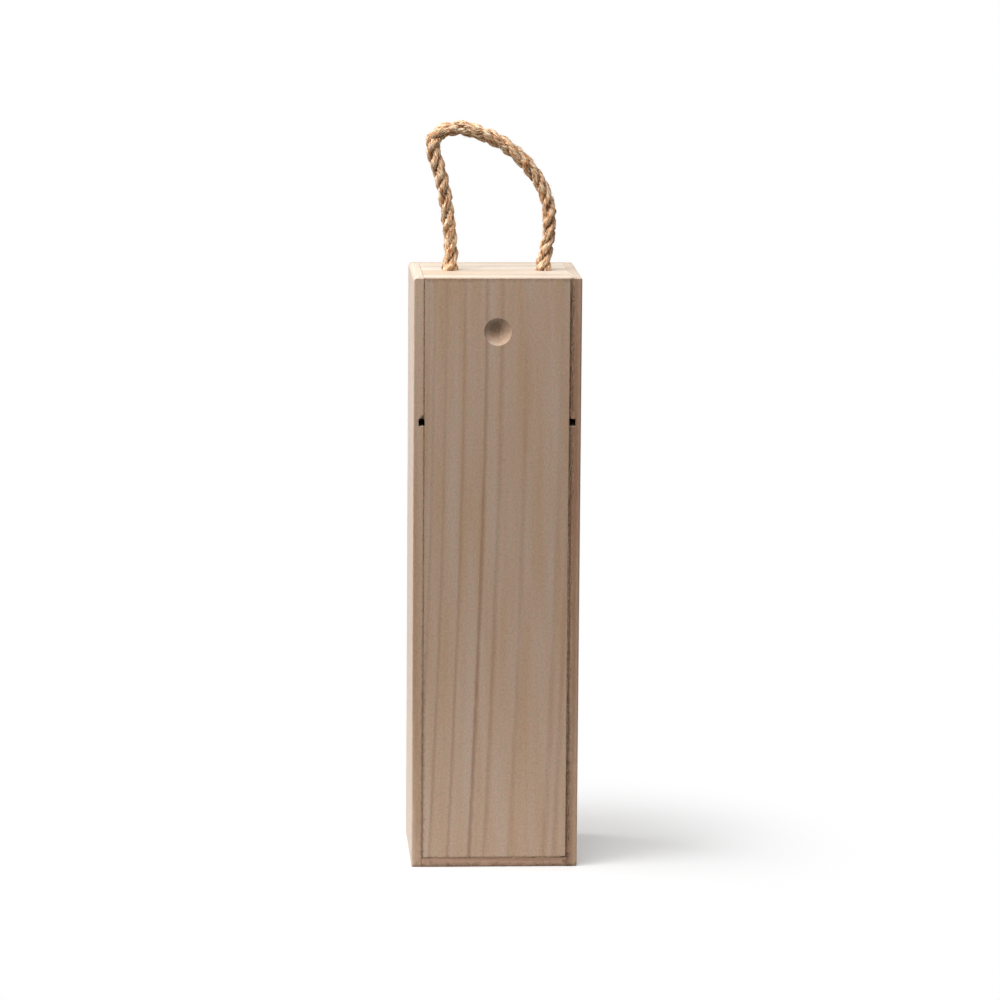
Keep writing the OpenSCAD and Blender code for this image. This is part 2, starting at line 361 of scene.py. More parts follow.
    def scoop_shade_and_soiling(self, tree: Tree, place: Feed, body: Feed, grit: Feed) -> Feed:
        """Paints shade into the middle of the recess, with the soiling of thumbs on the cut ends of the fibres.

        Args:
            tree: The material's nodes.
            place: Place in the part's frame, in millimetres.
            body: The colour that is darkened.
            grit: Where the pores are.

        Returns:
            The darkened colour.
        """
        cut = self.scoop
        flat = add(tree, "VectorMath", {0: place, 1: (1.0, 0.0, 1.0)}, operation="MULTIPLY")
        away = add(tree, "VectorMath", {0: flat, 1: (cut.x, 0.0, cut.z)}, operation="DISTANCE")
        near = add(tree, "MapRange", {0: away.outputs["Value"], 1: 0.3 * cut.radius, 2: cut.radius, 3: 0.5, 4: 0.0},
                   interpolation_type="SMOOTHSTEP")
        pores = add(tree, "Math", {0: grit, 1: -1.6, 2: 1.6}, operation="MULTIPLY_ADD")
        # The painted shade stays off the board's back
        through = add(tree, "SeparateXYZ", {0: place}).outputs["Y"]
        front = add(tree, "MapRange", {0: through, 1: cut.bottom, 2: cut.bottom + 0.8, 3: 1.0, 4: 0.0})
        return self.rubbed_in_and_shaded(tree, body, near, pores, front)

    def material(self) -> bpy.types.Material:
        """The board's material, which is sawn out of one tree by formula, so that faces and ends match."""
        made = bpy.data.materials.new(self.name)
        tree = emptied(made)
        at = add(tree, "TexCoord")
        place = add(tree, "VectorMath", {0: at.outputs["Object"], 1: (1 / MM,) * 3}, operation="MULTIPLY")
        axes = add(tree, "SeparateXYZ", {0: place})
        width, thickness, length = (axes.outputs[a] for a in self.grain.value)
        board = add(tree, "CombineXYZ", {0: width, 1: thickness, 2: length})

        # A fibre is 0.03 mm wide; the bundles that the eye picks out are drawn 0.3 mm wide
        fibre = self.streaks(tree, board, 0.3, 14)
        band = self.streaks(tree, board, 2.4, 150)
        # Short flecks, where a fibre bundle dips in and out of the planed face
        fleck = self.streaks(tree, board, 0.8, 4.5, detail=1)
        # Pores and cut fibre ends, which speckle a sanded face
        grit = self.streaks(tree, board, 1.0, 1.5, detail=2)
        # Resin canals show as thin brown dashes, up to 8 mm long
        canal = self.streaks(tree, board, 0.45, 9, detail=0)
        dash = add(tree, "MapRange", {0: canal, 1: 0.74, 2: 0.8, 4: 0.11})

        facing = add(tree, "SeparateXYZ", {0: at.outputs["Normal"]})
        endwise = add(tree, "Math", {0: facing.outputs[self.grain.value[2]]}, operation="ABSOLUTE")
        end = add(tree, "MapRange", {0: endwise, 1: 0.45, 2: 0.95})
        cut = add(tree, "Math", {0: end, 1: self.sawn[1]}, operation="MULTIPLY")
        # A pale painted sheen on the wide faces
        flatwise = add(tree, "Math", {0: facing.outputs[self.grain.value[1]]}, operation="ABSOLUTE")
        broad_sheen = add(tree, "MapRange", {0: flatwise, 1: 0.6, 2: 0.98, 4: self.face_sheen[1]})
        # Hands and cloths polish and darken the outermost millimetre at each edge
        eased = add(tree, "Bevel", {"Radius": 0.8 * MM}, samples=4)
        flat = add(tree, "NewGeometry")
        level = add(tree, "VectorMath", {0: eased, 1: flat.outputs["Normal"]}, operation="DOT_PRODUCT")
        edge = add(tree, "MapRange", {0: level.outputs["Value"], 1: 0.99, 2: 0.8})

        # The late wood shows less on a sawn end, breaks up along the grain and may grow paler along the board
        shown = add(tree, "Math", {0: end, 1: -0.35, 2: 0.55}, operation="MULTIPLY_ADD")
        broken = self.streaks(tree, board, 2, 11)
        shown = add(tree, "Math", {0: broken, 1: 0.9, 2: shown}, operation="MULTIPLY_ADD")
        paler = add(tree, "MapRange", {0: length, 1: self.pale_from[0], 2: self.pale_from[1], 3: 1.0, 4: 0.6})
        shown = add(tree, "Math", {0: shown, 1: paler}, operation="MULTIPLY")
        late = add(tree, "Math", {0: self.late_wood(tree, board, length), 1: shown}, operation="MULTIPLY",
                   use_clamp=True)

        cloud = add(tree, "MapRange", {0: self.streaks(tree, board, 9, 160), 1: 0.36, 2: 0.64, 4: 0.85})
        mottle = self.streaks(tree, board, 1.8, 4, detail=3)
        pale = add(tree, "MapRange", {0: mottle, 1: 0.38, 2: 0.62})
        body = srgb(self.early)
        for share, colour in ((pale, self.fresh), (cloud, self.ruddy), (late, self.late), (broad_sheen, self.face_sheen[0]),
                              (cut, self.sawn[0])):
            body = add(tree, "Mix", {"Factor": share, 6: body, 7: srgb(colour)}, data_type="RGBA").outputs[2]
        # Painted shade in the thumb recess and along seams, feet and open ends, with soiling
        if self.scoop:
            body = self.scoop_shade_and_soiling(tree, place, body, grit)
        for line in self.grime_and_shade:
            body = self.soiled_and_shaded(tree, place, body, grit, line)

        tone, rough = 0.57, 0.58
        for pattern, weight in ((fibre, 0.13), (band, 0.06), (fleck, 0.14), (grit, 0.5), (dash, -1.0), (end, -0.04),
                                (edge, -0.16)):
            tone = add(tree, "Math", {0: pattern, 1: weight, 2: tone}, operation="MULTIPLY_ADD")
        for pattern, weight in ((fibre, 0.1), (end, 0.15), (edge, -0.08)):
            rough = add(tree, "Math", {0: pattern, 1: weight, 2: rough}, operation="MULTIPLY_ADD")
        colour = add(tree, "HueSaturation", {"Value": tone, "Color": body})
        # Sanding takes more of the soft early wood, so that the late wood stands 0.03 mm proud
        relief = add(tree, "Math", {0: late, 1: 0.8, 2: fibre}, operation="MULTIPLY_ADD")
        bump = add(tree, "Bump", {"Strength": 1.0, "Distance": 0.04 * MM, "Height": relief})
        shader = add(tree, "BsdfPrincipled", {"Base Color": colour, "Roughness": rough, "Normal": bump, "IOR": 1.5})
        add(tree, "OutputMaterial", {"Surface": shader})
        return made


@dataclass(frozen=True)
class LaidJute:
    """Jute yarns, laid and undyed: golden fibres with pale and brown ones among them, dull and hairy.

    The colour runs in streaks along each fibre, and the grooves between the strands hold dust and shade.
    """

    name: str = "laid_jute"
    pale: str = "#fae8ca"
    golden: str = "#eebc8a"
    brown: str = "#975528"
    # Colour of the painted shade and soiling in the grooves
    groove: str = "#5a2a0f"

    def material(self) -> bpy.types.Material:
        """The rope's material, which follows the fibres by the attributes that the rope's mesh carries."""
        made = bpy.data.materials.new(self.name)
        tree = emptied(made)
        straight = add(tree, "Attribute", attribute_name="straight")
        depth = add(tree, "Attribute", attribute_name="depth")
        # Jute fibres are 0.1 mm wide; the bundles that show are drawn 0.4 mm wide and 6 mm long, over tones that
        # change with every yarn
        fine = add(tree, "VectorMath", {0: straight.outputs["Vector"], 1: (2.6, 2.6, 0.16)}, operation="MULTIPLY")
        fibre = add(tree, "TexNoise", {"Vector": fine, "Scale": 1.0, "Detail": 2.0})
        coarse = add(tree, "VectorMath", {0: straight.outputs["Vector"], 1: (0.8, 0.8, 0.34)}, operation="MULTIPLY")
        yarn = add(tree, "TexNoise", {"Vector": coarse, "Scale": 1.0, "Detail": 1.0})
        mixed = add(tree, "Math", {0: yarn, 1: 0.9, 2: fibre}, operation="MULTIPLY_ADD")
        ramp = add(tree, "ValToRGB", {0: add(tree, "MapRange", {0: mixed, 1: 0.76, 2: 1.1})})
        elements = ramp.color_ramp.elements
        elements[0].color, elements[1].color = srgb(self.brown), srgb(self.pale)
        elements.new(0.5).color = srgb(self.golden)
        # Painted shade and soiling, deepest in the grooves between the strands
        groove_shade_and_soiling = add(tree, "MapRange", {0: depth.outputs["Fac"], 1: 0.17, 2: 0.46, 4: 0.92})
        body = add(tree, "Mix", {"Factor": groove_shade_and_soiling, 6: ramp, 7: srgb(self.groove)}, data_type="RGBA").outputs[2]
        rough = add(tree, "Math", {0: fibre, 1: 0.2, 2: 0.55}, operation="MULTIPLY_ADD")
        bump = add(tree, "Bump", {"Strength": 1.0, "Distance": 0.3 * MM, "Height": fibre})
        shader = add(tree, "BsdfPrincipled", {"Base Color": body, "Roughness": rough, "Normal": bump, "IOR": 1.5})
        add(tree, "OutputMaterial", {"Surface": shader})
        return made


@dataclass(frozen=True)
class DrawnSteel:
    """Bright steel wire, drawn through a die: a metal gleam with faint scratches along the wire."""

    name: str = "drawn_steel"
    bright: str = "#b9b9bb"
    dull: str = "#8c8a86"

    def material(self) -> bpy.types.Material:
        """The brads' material."""
        made = bpy.data.materials.new(self.name)
        tree = emptied(made)
        place = add(tree, "TexCoord")
        # Draw marks are a few hundredths of a millimetre apart; they are drawn 0.15 mm apart
        marks = add(tree, "TexNoise", {"Vector": place.outputs["Object"], "Scale": 1 / (0.15 * MM), "Detail": 2.0})
        tint = add(tree, "Mix", {"Factor": marks, 6: srgb(self.bright), 7: srgb(self.dull)},
                   data_type="RGBA").outputs[2]
        rough = add(tree, "Math", {0: marks, 1: 0.25, 2: 0.25}, operation="MULTIPLY_ADD")
        bump = add(tree, "Bump", {"Strength": 0.6, "Distance": 0.01 * MM, "Height": marks})
        shader = add(tree, "BsdfPrincipled", {"Base Color": tint, "Metallic": 1.0, "Roughness": rough,
                                              "Normal": bump})
        add(tree, "OutputMaterial", {"Surface": shader})
        return made


@dataclass
class Skin:
    """Tubes gathered into one mesh, each unrolled into a strip of the mesh's own UV map."""

    # Length of a strip and the room between two, in millimetres on the map
    row: float = 100.0
    gap: float = 0.4
    points: list[np.ndarray] = field(default_factory=list)
    straight: list[np.ndarray] = field(default_factory=list)
    depth: list[np.ndarray] = field(default_factory=list)
    faces: list[list[int]] = field(default_factory=list)
    corners: list[tuple[float, float]] = field(default_factory=list)
    count: int = 0
    cursor: tuple[float, float] = (0.0, 0.0)

    def tube(self, rings: np.ndarray, straight: np.ndarray, depth: np.ndarray, run: np.ndarray, girth: float) -> None:
        """Adds one tube with pointed ends.

        Args:
            rings: Its points, ring by ring, in millimetres.
            straight: Each point's place along its own fibre.
            depth: How deep each point lies in a groove.
            run: Distance of each ring along the tube.
            girth: How far it is round the tube, for its strip.
        """
        many, sides = rings.shape[:2]
        first, last = self.count, self.count + many * sides
        for store, values in ((self.points, rings), (self.straight, straight), (self.depth, depth[..., None])):
            store.append(values.reshape(many * sides, -1))
            store.append(values[[0, -1]].mean(axis=1))
        self.count = last + 2
        if run[-1] <= self.row and self.cursor[0] + run[-1] > self.row:
            self.cursor = (0.0, self.cursor[1] + girth + self.gap)
        left, low = self.cursor
        k, j = np.meshgrid(np.arange(many - 1), np.arange(sides), indexing="ij")
        after = (j + 1) % sides
        quads = np.stack([k * sides + j, k * sides + after, (k + 1) * sides + after, (k + 1) * sides + j], axis=-1)
        self.faces += (quads.reshape(-1, 4) + first).tolist()
        shelf = np.floor(run[k] / self.row)
        across = low + shelf * (girth + self.gap)
        start, stop = left + run[k] - shelf * self.row, left + run[k + 1] - shelf * self.row
        near, far = across + girth * j / sides, across + girth * (j + 1) / sides
        strip = np.stack([start, near, start, far, stop, far, stop, near], axis=-1)
        self.corners += strip.reshape(-1, 2).tolist()
        for apex, ring, way in ((last, 0, -1), (last + 1, many - 1, 1)):
            shelf = math.floor(max(run[ring] - 0.01, 0) / self.row)
            at, low_end = left + run[ring] - shelf * self.row, low + shelf * (girth + self.gap)
            for side in range(sides):
                pair = [first + ring * sides + side, first + ring * sides + (side + 1) % sides]
                self.faces.append([*(pair if way > 0 else pair[::-1]), apex])
                ends = [(at, low_end + girth * side / sides), (at, low_end + girth * (side + 1) / sides)]
                self.corners += [*(ends if way > 0 else ends[::-1]), (at + 0.1 * way, ends[0][1])]
        if run[-1] > self.row:
            self.cursor = (0.0, low + (math.floor(run[-1] / self.row) + 1) * (girth + self.gap))
        else:
            self.cursor = (left + run[-1] + self.gap, low)

    def build(self, name: str, material: bpy.types.Material) -> bpy.types.Object:
        """Makes the mesh object.

        Args:
            name: The piece's name.
            material: Its finish.

        Returns:
            The object, in the scene's collection.
        """
        points = np.concatenate(self.points)
        mesh = bpy.data.meshes.new(name)
        mesh.from_pydata((points * MM).tolist(), [], self.faces)
        mesh.polygons.foreach_set("use_smooth", np.ones(len(self.faces), bool))
        mesh.attributes.new("straight", "FLOAT_VECTOR", "POINT").data.foreach_set(
            "vector", np.concatenate(self.straight).astype(np.float32).ravel())
        mesh.attributes.new("depth", "FLOAT", "POINT").data.foreach_set(
            "value", np.concatenate(self.depth).astype(np.float32).ravel())
        corners = np.array(self.corners, np.float32) + self.gap
        corners /= corners.max() + self.gap
        mesh.uv_layers.new(name="OFBake").data.foreach_set("uv", corners.ravel())
        mesh.materials.append(material)
        return placed(name, mesh)


@dataclass
class LaidRope:
    """Three strands laid to the right round a line, each with its yarns twisted the other way."""

    line: np.ndarray
    level: tuple[float, float, float]
    radius: np.ndarray
    seed: int
    # How much more painted shade and soiling darken it, along the line, on top of what lies in its grooves
    shade_and_soiling: np.ndarray
    # Length of a full turn of the strands, and of the yarns in a strand, the other way
    lay: float = 28.0
    twist: float = 18.0
    yarns: int = 5
    sides: int = 30
    # Distance of a strand's middle from the line, and the strand's own radius, as shares of the rope's radius
    spread: float = 0.5
    thickness: float = 0.53
    # How far it is round a strand, for the mesh's map
    strip: float = 11.7

    def __post_init__(self) -> None:
        """Works out the run along the line, its direction and the two directions square to it."""
        self.run = run_along(self.line)
        way = np.gradient(self.line, axis=0)
        self.way = way / np.linalg.norm(way, axis=1)[:, None]
        across = np.cross(np.array(self.level), self.way)
        self.across = across / np.linalg.norm(across, axis=1)[:, None]
        self.over = np.cross(self.way, self.across)
        self.rng = np.random.default_rng(self.seed)
        # Each strand strays round the line, in radians, and swells by a share of its radius
        self.sway = [0.42 * ripple(self.run, (13.0, 23.0, 47.0), self.rng) for _ in range(3)]
        self.swell = [1 + 0.12 * ripple(self.run, (7.0, 12.0, 31.0), self.rng) for _ in range(3)]
        # Bundles of fibre that stand out of the strands: how many go round, how long each is and where it starts
        self.tufts = [(int(n), w, p) for n, w, p in zip(self.rng.integers(2, 10, 12), self.rng.uniform(1.8, 8, 12),
                                                        self.rng.uniform(0, 2 * math.pi, 12))]

    def along(self, values: np.ndarray, run: np.ndarray) -> np.ndarray:
        """Reads a quantity that is kept along the line at other distances along it."""
        flat = values.reshape(len(self.run), -1)
        read = [np.interp(run, self.run, flat[:, c]) for c in range(flat.shape[1])]
        return np.stack(read, axis=-1).reshape(*np.shape(run), *values.shape[1:])

    def surface(self, strand: int, run: np.ndarray, turn: np.ndarray, lift: np.ndarray | float = 0.0,
                slim: np.ndarray | float = 1.0) -> tuple[np.ndarray, np.ndarray, np.ndarray]:
        """Points on a strand.

        Args:
            strand: Which of the three.
            run: Distance along the rope.
            turn: Angle round the strand, from its outermost line.
            lift: Height over the strand's surface.
            slim: Share of the strand's radius, for rounding off its ends.

        Returns:
            The points, their places along their own fibres, and how deep in a groove they lie.
        """
        radius = self.along(self.radius, run)
        angle = 2 * math.pi * (run / self.lay + strand / 3) + self.along(self.sway[strand], run)
        across, over, way = (self.along(v, run) for v in (self.across, self.over, self.way))
        out = across * np.cos(angle)[..., None] + over * np.sin(angle)[..., None]
        onward = over * np.cos(angle)[..., None] - across * np.sin(angle)[..., None]
        spread = self.spread * radius
        slope = np.arctan(2 * math.pi * spread / self.lay)[..., None]
        side = onward * np.cos(slope) - way * np.sin(slope)
        fibre = turn + 2 * math.pi * run / self.twist
        thick = self.thickness * radius * self.along(self.swell[strand], run)
        # A strand is ribbed by its yarns, a little flattened, and roughened by bundles that stand out by 0.1 mm
        lobes = 1 + 0.05 * np.cos(self.yarns * fibre) + 0.03 * np.sin(2 * fibre + 0.7 * run)
        tufted = sum(np.sin(n * fibre + 2 * math.pi * run / w + p + 2 * strand) for n, w, p in self.tufts)
        reach = (thick * lobes + 0.1 * tufted) * slim + lift
        offset = reach[..., None] * (out * np.cos(turn)[..., None] + side * np.sin(turn)[..., None])
        centre = self.along(self.line, run) + spread[..., None] * out
        points = centre + offset
        from_axis = np.linalg.norm(spread[..., None] * out + offset, axis=-1)
        depth = np.clip(1 - from_axis / radius + self.along(self.shade_and_soiling, run), 0, 1)
        straight = np.stack([thick * np.cos(fibre) + 11 * strand, thick * np.sin(fibre), run], axis=-1)
        return points, straight, depth

    def lay_strands(self, skin: Skin, step: float) -> None:
        """Adds the three strands to a skin, rounded off at both ends.

        Args:
            skin: The mesh in the making.
            step: Distance between rings.
        """
        end, tip = self.run[-1], 1.6
        rounding = np.array([0.15, 0.45, 0.9, 1.5])
        run = np.concatenate([rounding, np.arange(2.0, end - 2.0, step), end - rounding[::-1]])
        near = np.minimum(run, end - run)
        slim = np.where(near < tip, np.sqrt(np.clip(1 - (1 - near / tip) ** 2, 0.02, 1)), 1.0)
        turn = np.linspace(0, 2 * math.pi, self.sides, endpoint=False)
        for strand in range(3):
            k, t = np.meshgrid(np.arange(len(run)), turn, indexing="ij")
            points, straight, depth = self.surface(strand, run[k], t, slim=slim[k])
            skin.tube(points, straight, depth, run, girth=self.strip)

    def raise_fibres(self, skin: Skin, count: int) -> None:
        """Adds fibres that have worked loose from the strands, in lengths from 3 to 14 mm.

        Args:
            skin: The mesh in the making.
            count: How many.
        """
        share = np.linspace(0, 1, 8)
        for _ in range(count):
            long = min(3 + self.rng.exponential(3.5), 14)
            way = self.rng.choice([-1, 1])
            start = self.rng.uniform(1, self.run[-1] - 1)
            run = np.clip(start + way * long * share, 0.2, self.run[-1] - 0.2)
            # It follows its yarn at first, then bends aside and rises, both with the square of the way along it
            turn = self.rng.uniform(-1.5, 1.5) - 2 * math.pi * (run - start) / self.twist
            turn = turn + self.rng.normal(0, 0.5) * share ** 2
            lift = 0.03 + self.rng.exponential(0.55) * share ** 2
            points, straight, _ = self.surface(int(self.rng.integers(3)), run, turn, lift=np.minimum(lift, 1.7))
            points = points + self.rng.normal(0, 0.25, 3) * (share ** 2)[:, None] * long / 8
            self.thread(skin, points, straight, 0.085 * self.rng.uniform(0.7, 1.4))

    def thread(self, skin: Skin, points: np.ndarray, straight: np.ndarray, radius: float) -> None:
        """Adds one loose fibre, three-sided and thinner towards its tip.

        Args:
            skin: The mesh in the making.
            points: Its line.
            straight: The places along the fibre that its colour follows.
            radius: Its radius at the root.
        """
        way = np.gradient(points, axis=0)
        way /= np.linalg.norm(way, axis=1)[:, None] + 1e-9
        aside = np.cross(way, self.rng.normal(size=3))
        aside /= np.linalg.norm(aside, axis=1)[:, None] + 1e-9
        up = np.cross(way, aside)
        taper = radius * np.linspace(1, 0.35, len(points))[:, None, None]
        around = np.array([0, 2 * math.pi / 3, 4 * math.pi / 3])[None, :, None]
        rings = points[:, None] + taper * (aside[:, None] * np.cos(around) + up[:, None] * np.sin(around))
        tone = self.rng.uniform(-40, 40, 3)
        same = np.repeat((straight * [0, 0, 1] + tone)[:, None], 3, axis=1)
        skin.tube(rings, same, np.zeros(rings.shape[:2]), run_along(points), girth=0.5)


@dataclass
class RopeHandle:
    """The rope that leaves the top board by two holes, stands in a loop, and is knotted under the board."""

    finish: bpy.types.Material
    diameter: float = 7.5
    # Heights of the box, and of the line about which the loop tips over that
    height: float = 357.0
    tip: float = 4.05
    left_x: float = -26.5
    right_x: float = 29.5
    # Heights of the tails' ends, and of the knots' tops
    tail_end: float = 319.9
    knot_top: float = 350.3
    turn_radius: float = 7.55
    turn_pitch: float = 7.95
    turns: float = 1.75
    # Distance between the rope's rings, and how many fibres stand off it
    step: float = 0.5
    fibres: int = 1500
    # X and height above the top board, as the part's own rope runs
    loop: tuple[tuple[float, float], ...] = (
        (-26, 12), (-27, 24), (-28.5, 36), (-30.5, 48), (-33.5, 60), (-36, 68), (-37.3, 73.5), (-36.4, 79),
        (-33, 82.8), (-27.5, 84.8), (-21, 85.5), (-14, 84.2), (-6, 81.4), (2.5, 77.3), (10.5, 71.7), (18, 65),
        (24, 57.5), (29, 49), (32, 40), (33, 31), (32.5, 21), (31, 12))

    def smooth(self, points: np.ndarray) -> np.ndarray:
        """A smooth line through points, as points a step apart.

        Args:
            points: What it goes through, in millimetres.

        Returns:
            The points of the line.
        """
        padded = np.concatenate([2 * points[:1] - points[1:2], points, 2 * points[-1:] - points[-2:-1]])
        share = np.linspace(0, 1, 24, endpoint=False)[:, None]
        parts = []
        for k in range(len(points) - 1):
            a, b, c, d = padded[k:k + 4]
            parts.append(0.5 * (2 * b + (c - a) * share + (2 * a - 5 * b + 4 * c - d) * share ** 2
                                + (3 * b - a - 3 * c + d) * share ** 3))
        dense = np.concatenate([*parts, points[-1:]])
        run = run_along(dense)
        even = np.linspace(0, run[-1], int(run[-1] / self.step) + 1)
        return np.stack([np.interp(even, run, dense[:, c]) for c in range(3)], axis=-1)

    def route(self) -> np.ndarray:
        """The whole line, from the end under one knot, round the loop, to the end under the other."""
        above = [(self.left_x, self.tip), *self.loop, (self.right_x, self.tip)]
        heights = (self.tail_end, 330.0, 340.0, 350.0)
        points = [(self.left_x, 0, z) for z in heights]
        points += [(x, 0, self.height + up) for x, up in above]
        points += [(self.right_x, 0, z) for z in heights[::-1]]
        return self.smooth(np.array(points, float))

    def girth(self, line: np.ndarray) -> np.ndarray:
        """The rope's radius along its line: squeezed in the holes and splayed where it leaves them."""
        # The holes run from 6.5 mm under the board's top up to it
        above = line[:, 2] - self.height
        free = 1.02 * self.diameter / 2
        return np.interp(above, [-9, -6.5, -1.2, 0.2, 1.2, 4, 9, 45, 66],
                         [free, 3.95, 3.95, 4.6, 4.8, 4.35, free, free, 1.1 * free])

    def knot_line(self, x: float, start: float) -> np.ndarray:
        """The line of a knot's turns, which come out of the tail and go back into it.

        Args:
            x: Where the tail is.
            start: Angle at which the turns begin, in degrees.

        Returns:
            The points of the line.
        """
        # Share of a turn in which the rope comes out of the tail, and how close to its middle it starts
        lead, close = 0.3, 2.2
        turn = np.linspace(-lead, self.turns + lead, 160)
        inside = np.clip(np.minimum(turn + lead, self.turns + lead - turn) / lead, 0, 1)
        radius = close + (self.turn_radius - close) * inside ** 0.6
        angle = np.radians(start) + 2 * math.pi * turn
        drop = np.clip(turn, 0, self.turns) + 0.25 * np.clip(turn - self.turns, 0, 1)
        height = self.knot_top - self.diameter / 2 - self.turn_pitch * drop
        return self.smooth(np.stack([x + radius * np.cos(angle), radius * np.sin(angle), height], axis=-1)[::4])

    def build(self) -> bpy.types.Object:
        """Returns:
            The rope's own piece.
        """
        line = self.route()
        # It is darkened most where it comes out of its holes, by painted shade at its foot and by soiling where it is
        # most handled
        shade_and_soiling = np.interp(line[:, 2] - self.height, [-8, 2, 18, 40], [0.1, 0.1, 0.06, 0.0])
        rope = LaidRope(line, (0, 1, 0), self.girth(line), seed=11, shade_and_soiling=shade_and_soiling)
        skin = Skin(row=130)
        rope.lay_strands(skin, self.step)
        rope.raise_fibres(skin, self.fibres)
        handle = skin.build("jute_rope", self.finish)
        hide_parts("rope_handle", "left_rope_tail", "right_rope_tail")
        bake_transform(handle)
        knots = [self.knot("left", self.left_x, 250), self.knot("right", self.right_x, 290)]
        log.info("rope %.0f mm long, %d faces", rope.run[-1], len(handle.data.polygons))
        return handle

    def knot(self, side: str, x: float, start: float) -> bpy.types.Object:
        """Builds one stopper knot.

        Args:
            side: Which one, for its name.
            x: Where its tail is.
            start: Angle at which its turns begin, in degrees.

        Returns:
            The knot's piece.
        """
        line = self.knot_line(x, start)
        turns = LaidRope(line, (0, 0, 1), np.full(len(line), self.diameter / 2), seed=int(start),
                         shade_and_soiling=np.zeros(len(line)), sides=24)
        skin = Skin(row=70)
        turns.lay_strands(skin, self.step)
        turns.raise_fibres(skin, self.fibres // 6)
        knot = skin.build(f"{side}_knot_turns", self.finish)
        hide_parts(f"{side}_knot")
        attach(knot, "box")
        log.info("%s knot, %d faces", side, len(knot.data.polygons))
        return knot


# The lid's growth rings, the fourth of which is the dark line that runs up it left of the middle
LID_RINGS = (
    Ring(68.6, 0.2, 2.2, 1.4), Ring(82.8, 0.2, 2.2, 1.4), Ring(94.6, 0.28, 2.2, 1.3), Ring(102.0, 0.6, 2.0, 1.2),
    Ring(113.2, 0.34, 1.8, 1.2), Ring(122.9, 0.3, 1.9, 1.2), Ring(129.4, 0.24, 1.8, 1.2))


@dataclass
class Boards:
    """The box's boards, its lid and its neck rest, each sawn from another part of the tree."""

    finishes: dict[str, PlanedPine] = field(default_factory=lambda: {
        "sliding_lid": PlanedPine(
            "planed_pine_lid", Grain.UPRIGHT_FRONT, (70, 10), LID_RINGS, (0.048, 0), sweep=-6e-5, wander=0.5,
            sawn=("#cdbca8", 0.6), scoop=Scoop(-1.2, -41.0, 326.3, 6.5), pale_from=(130, 270),
            # Painted shade along the seams beside and under the lid, and along its top edge
            grime_and_shade=(GrimeAndShade((-43.4, -45, 0), "Z", 1.3, 0.45, (100, 190)), GrimeAndShade((0, -45, 356.4), "X", 1.9, 0.3),
                   GrimeAndShade((0, -45, 5.9), "X", 1.0, 0.35), GrimeAndShade((43.6, -45, 0), "Z", 0.9, 0.35))),
        "left_side": PlanedPine(
            "planed_pine_left_side", Grain.UPRIGHT_SIDE, (58, -18), growth_rings(20, 6, 10, 3), (-0.02, 0.03),
            early="#d5b29e", fresh="#ccb79c", ruddy="#caa684",
            # A pale painted sheen on the wide faces
            face_sheen=("#d3c9c1", 0.5), sawn=("#d6cbbb", 0.85), dirt_and_shade="#3d2412",
            # Painted shade, in a darker colour, along the seam, at the housing's open end and along the foot
            grime_and_shade=(GrimeAndShade((-43.8, -45, 0), "Z", 1.2, 0.4, (100, 190)), GrimeAndShade((-44.2, -45, 271), "Y", 3.2, 0.85),
                   GrimeAndShade((0, -45, 0), "X", 2.2, 0.5))),
        "right_side": PlanedPine(
            "planed_pine_right_side", Grain.UPRIGHT_SIDE, (12, 4), growth_rings(10, 5, 10, 8), (0.02, 0.035),
            early="#bf9f86", fresh="#b99f82", late="#86593d", ruddy="#b38b70",
            # A pale painted sheen on the wide faces
            face_sheen=("#dcd2ca", 0.5), sawn=("#d3c4b2", 0.8),
            # Painted shade along the torn seam, strongest low and high, and along the foot
            grime_and_shade=(GrimeAndShade((44.4, -44.6, 0), "Z", 1.4, 0.7, (60, 140)),
                   GrimeAndShade((44.4, -44.6, 0), "Z", 1.4, 0.7, (240, 190)), GrimeAndShade((0, -45, 0), "X", 2.4, 0.8))),
        "back_panel": PlanedPine(
            "planed_pine_back", Grain.UPRIGHT_FRONT, (-8, 92), growth_rings(28, 6, 10, 21), (0.01, 0.05),
            sawn=("#cdbca8", 0.6)),
        "top_board": PlanedPine(
            "planed_pale_pine_top", Grain.LEVEL, (-14, 300), growth_rings(-70, 8, 10, 5), (0.05, 0.02),
            early="#d6cabd", fresh="#d4ccbc", late="#c6ad92", ruddy="#d3c4b3"),
        "bottom_board": PlanedPine(
            "planed_pine_bottom", Grain.LEVEL, (30, 60), growth_rings(30, 6, 10, 12), (-0.04, 0.02),
            early="#c1a088", fresh="#bba185", late="#946850", ruddy="#b68f77",
            # Painted shade along the foot, along the seam under the lid and at the right-hand end
            grime_and_shade=(GrimeAndShade((0, -45, 0), "X", 2.6, 0.7), GrimeAndShade((0, -45, 5.4), "X", 1.1, 0.2),
                   GrimeAndShade((43.8, -45, 2.5), "Y", 2.6, 0.7))),
        "neck_rest": PlanedPine(
            "planed_pale_pine_rest", Grain.LEVEL, (-30, 200), growth_rings(20, 5, 10, 31), (0.03, 0.04),
            early="#d6c0a8", fresh="#d3c2a6", late="#ac8860", ruddy="#cfb296", dirt_and_shade="#2e1b0e",
            # Both ends painted nearly black, as the shade deep in the housings' open ends
            grime_and_shade=(GrimeAndShade((-46, -27, 270.4), "Y", 3.5, 1.0), GrimeAndShade((46, -27, 270.4), "Y", 3.5, 1.0))),
    })

    def dress(self) -> None:
        """Gives each board its own wood."""
        for node, finish in self.finishes.items():
            dress(node, finish.material())


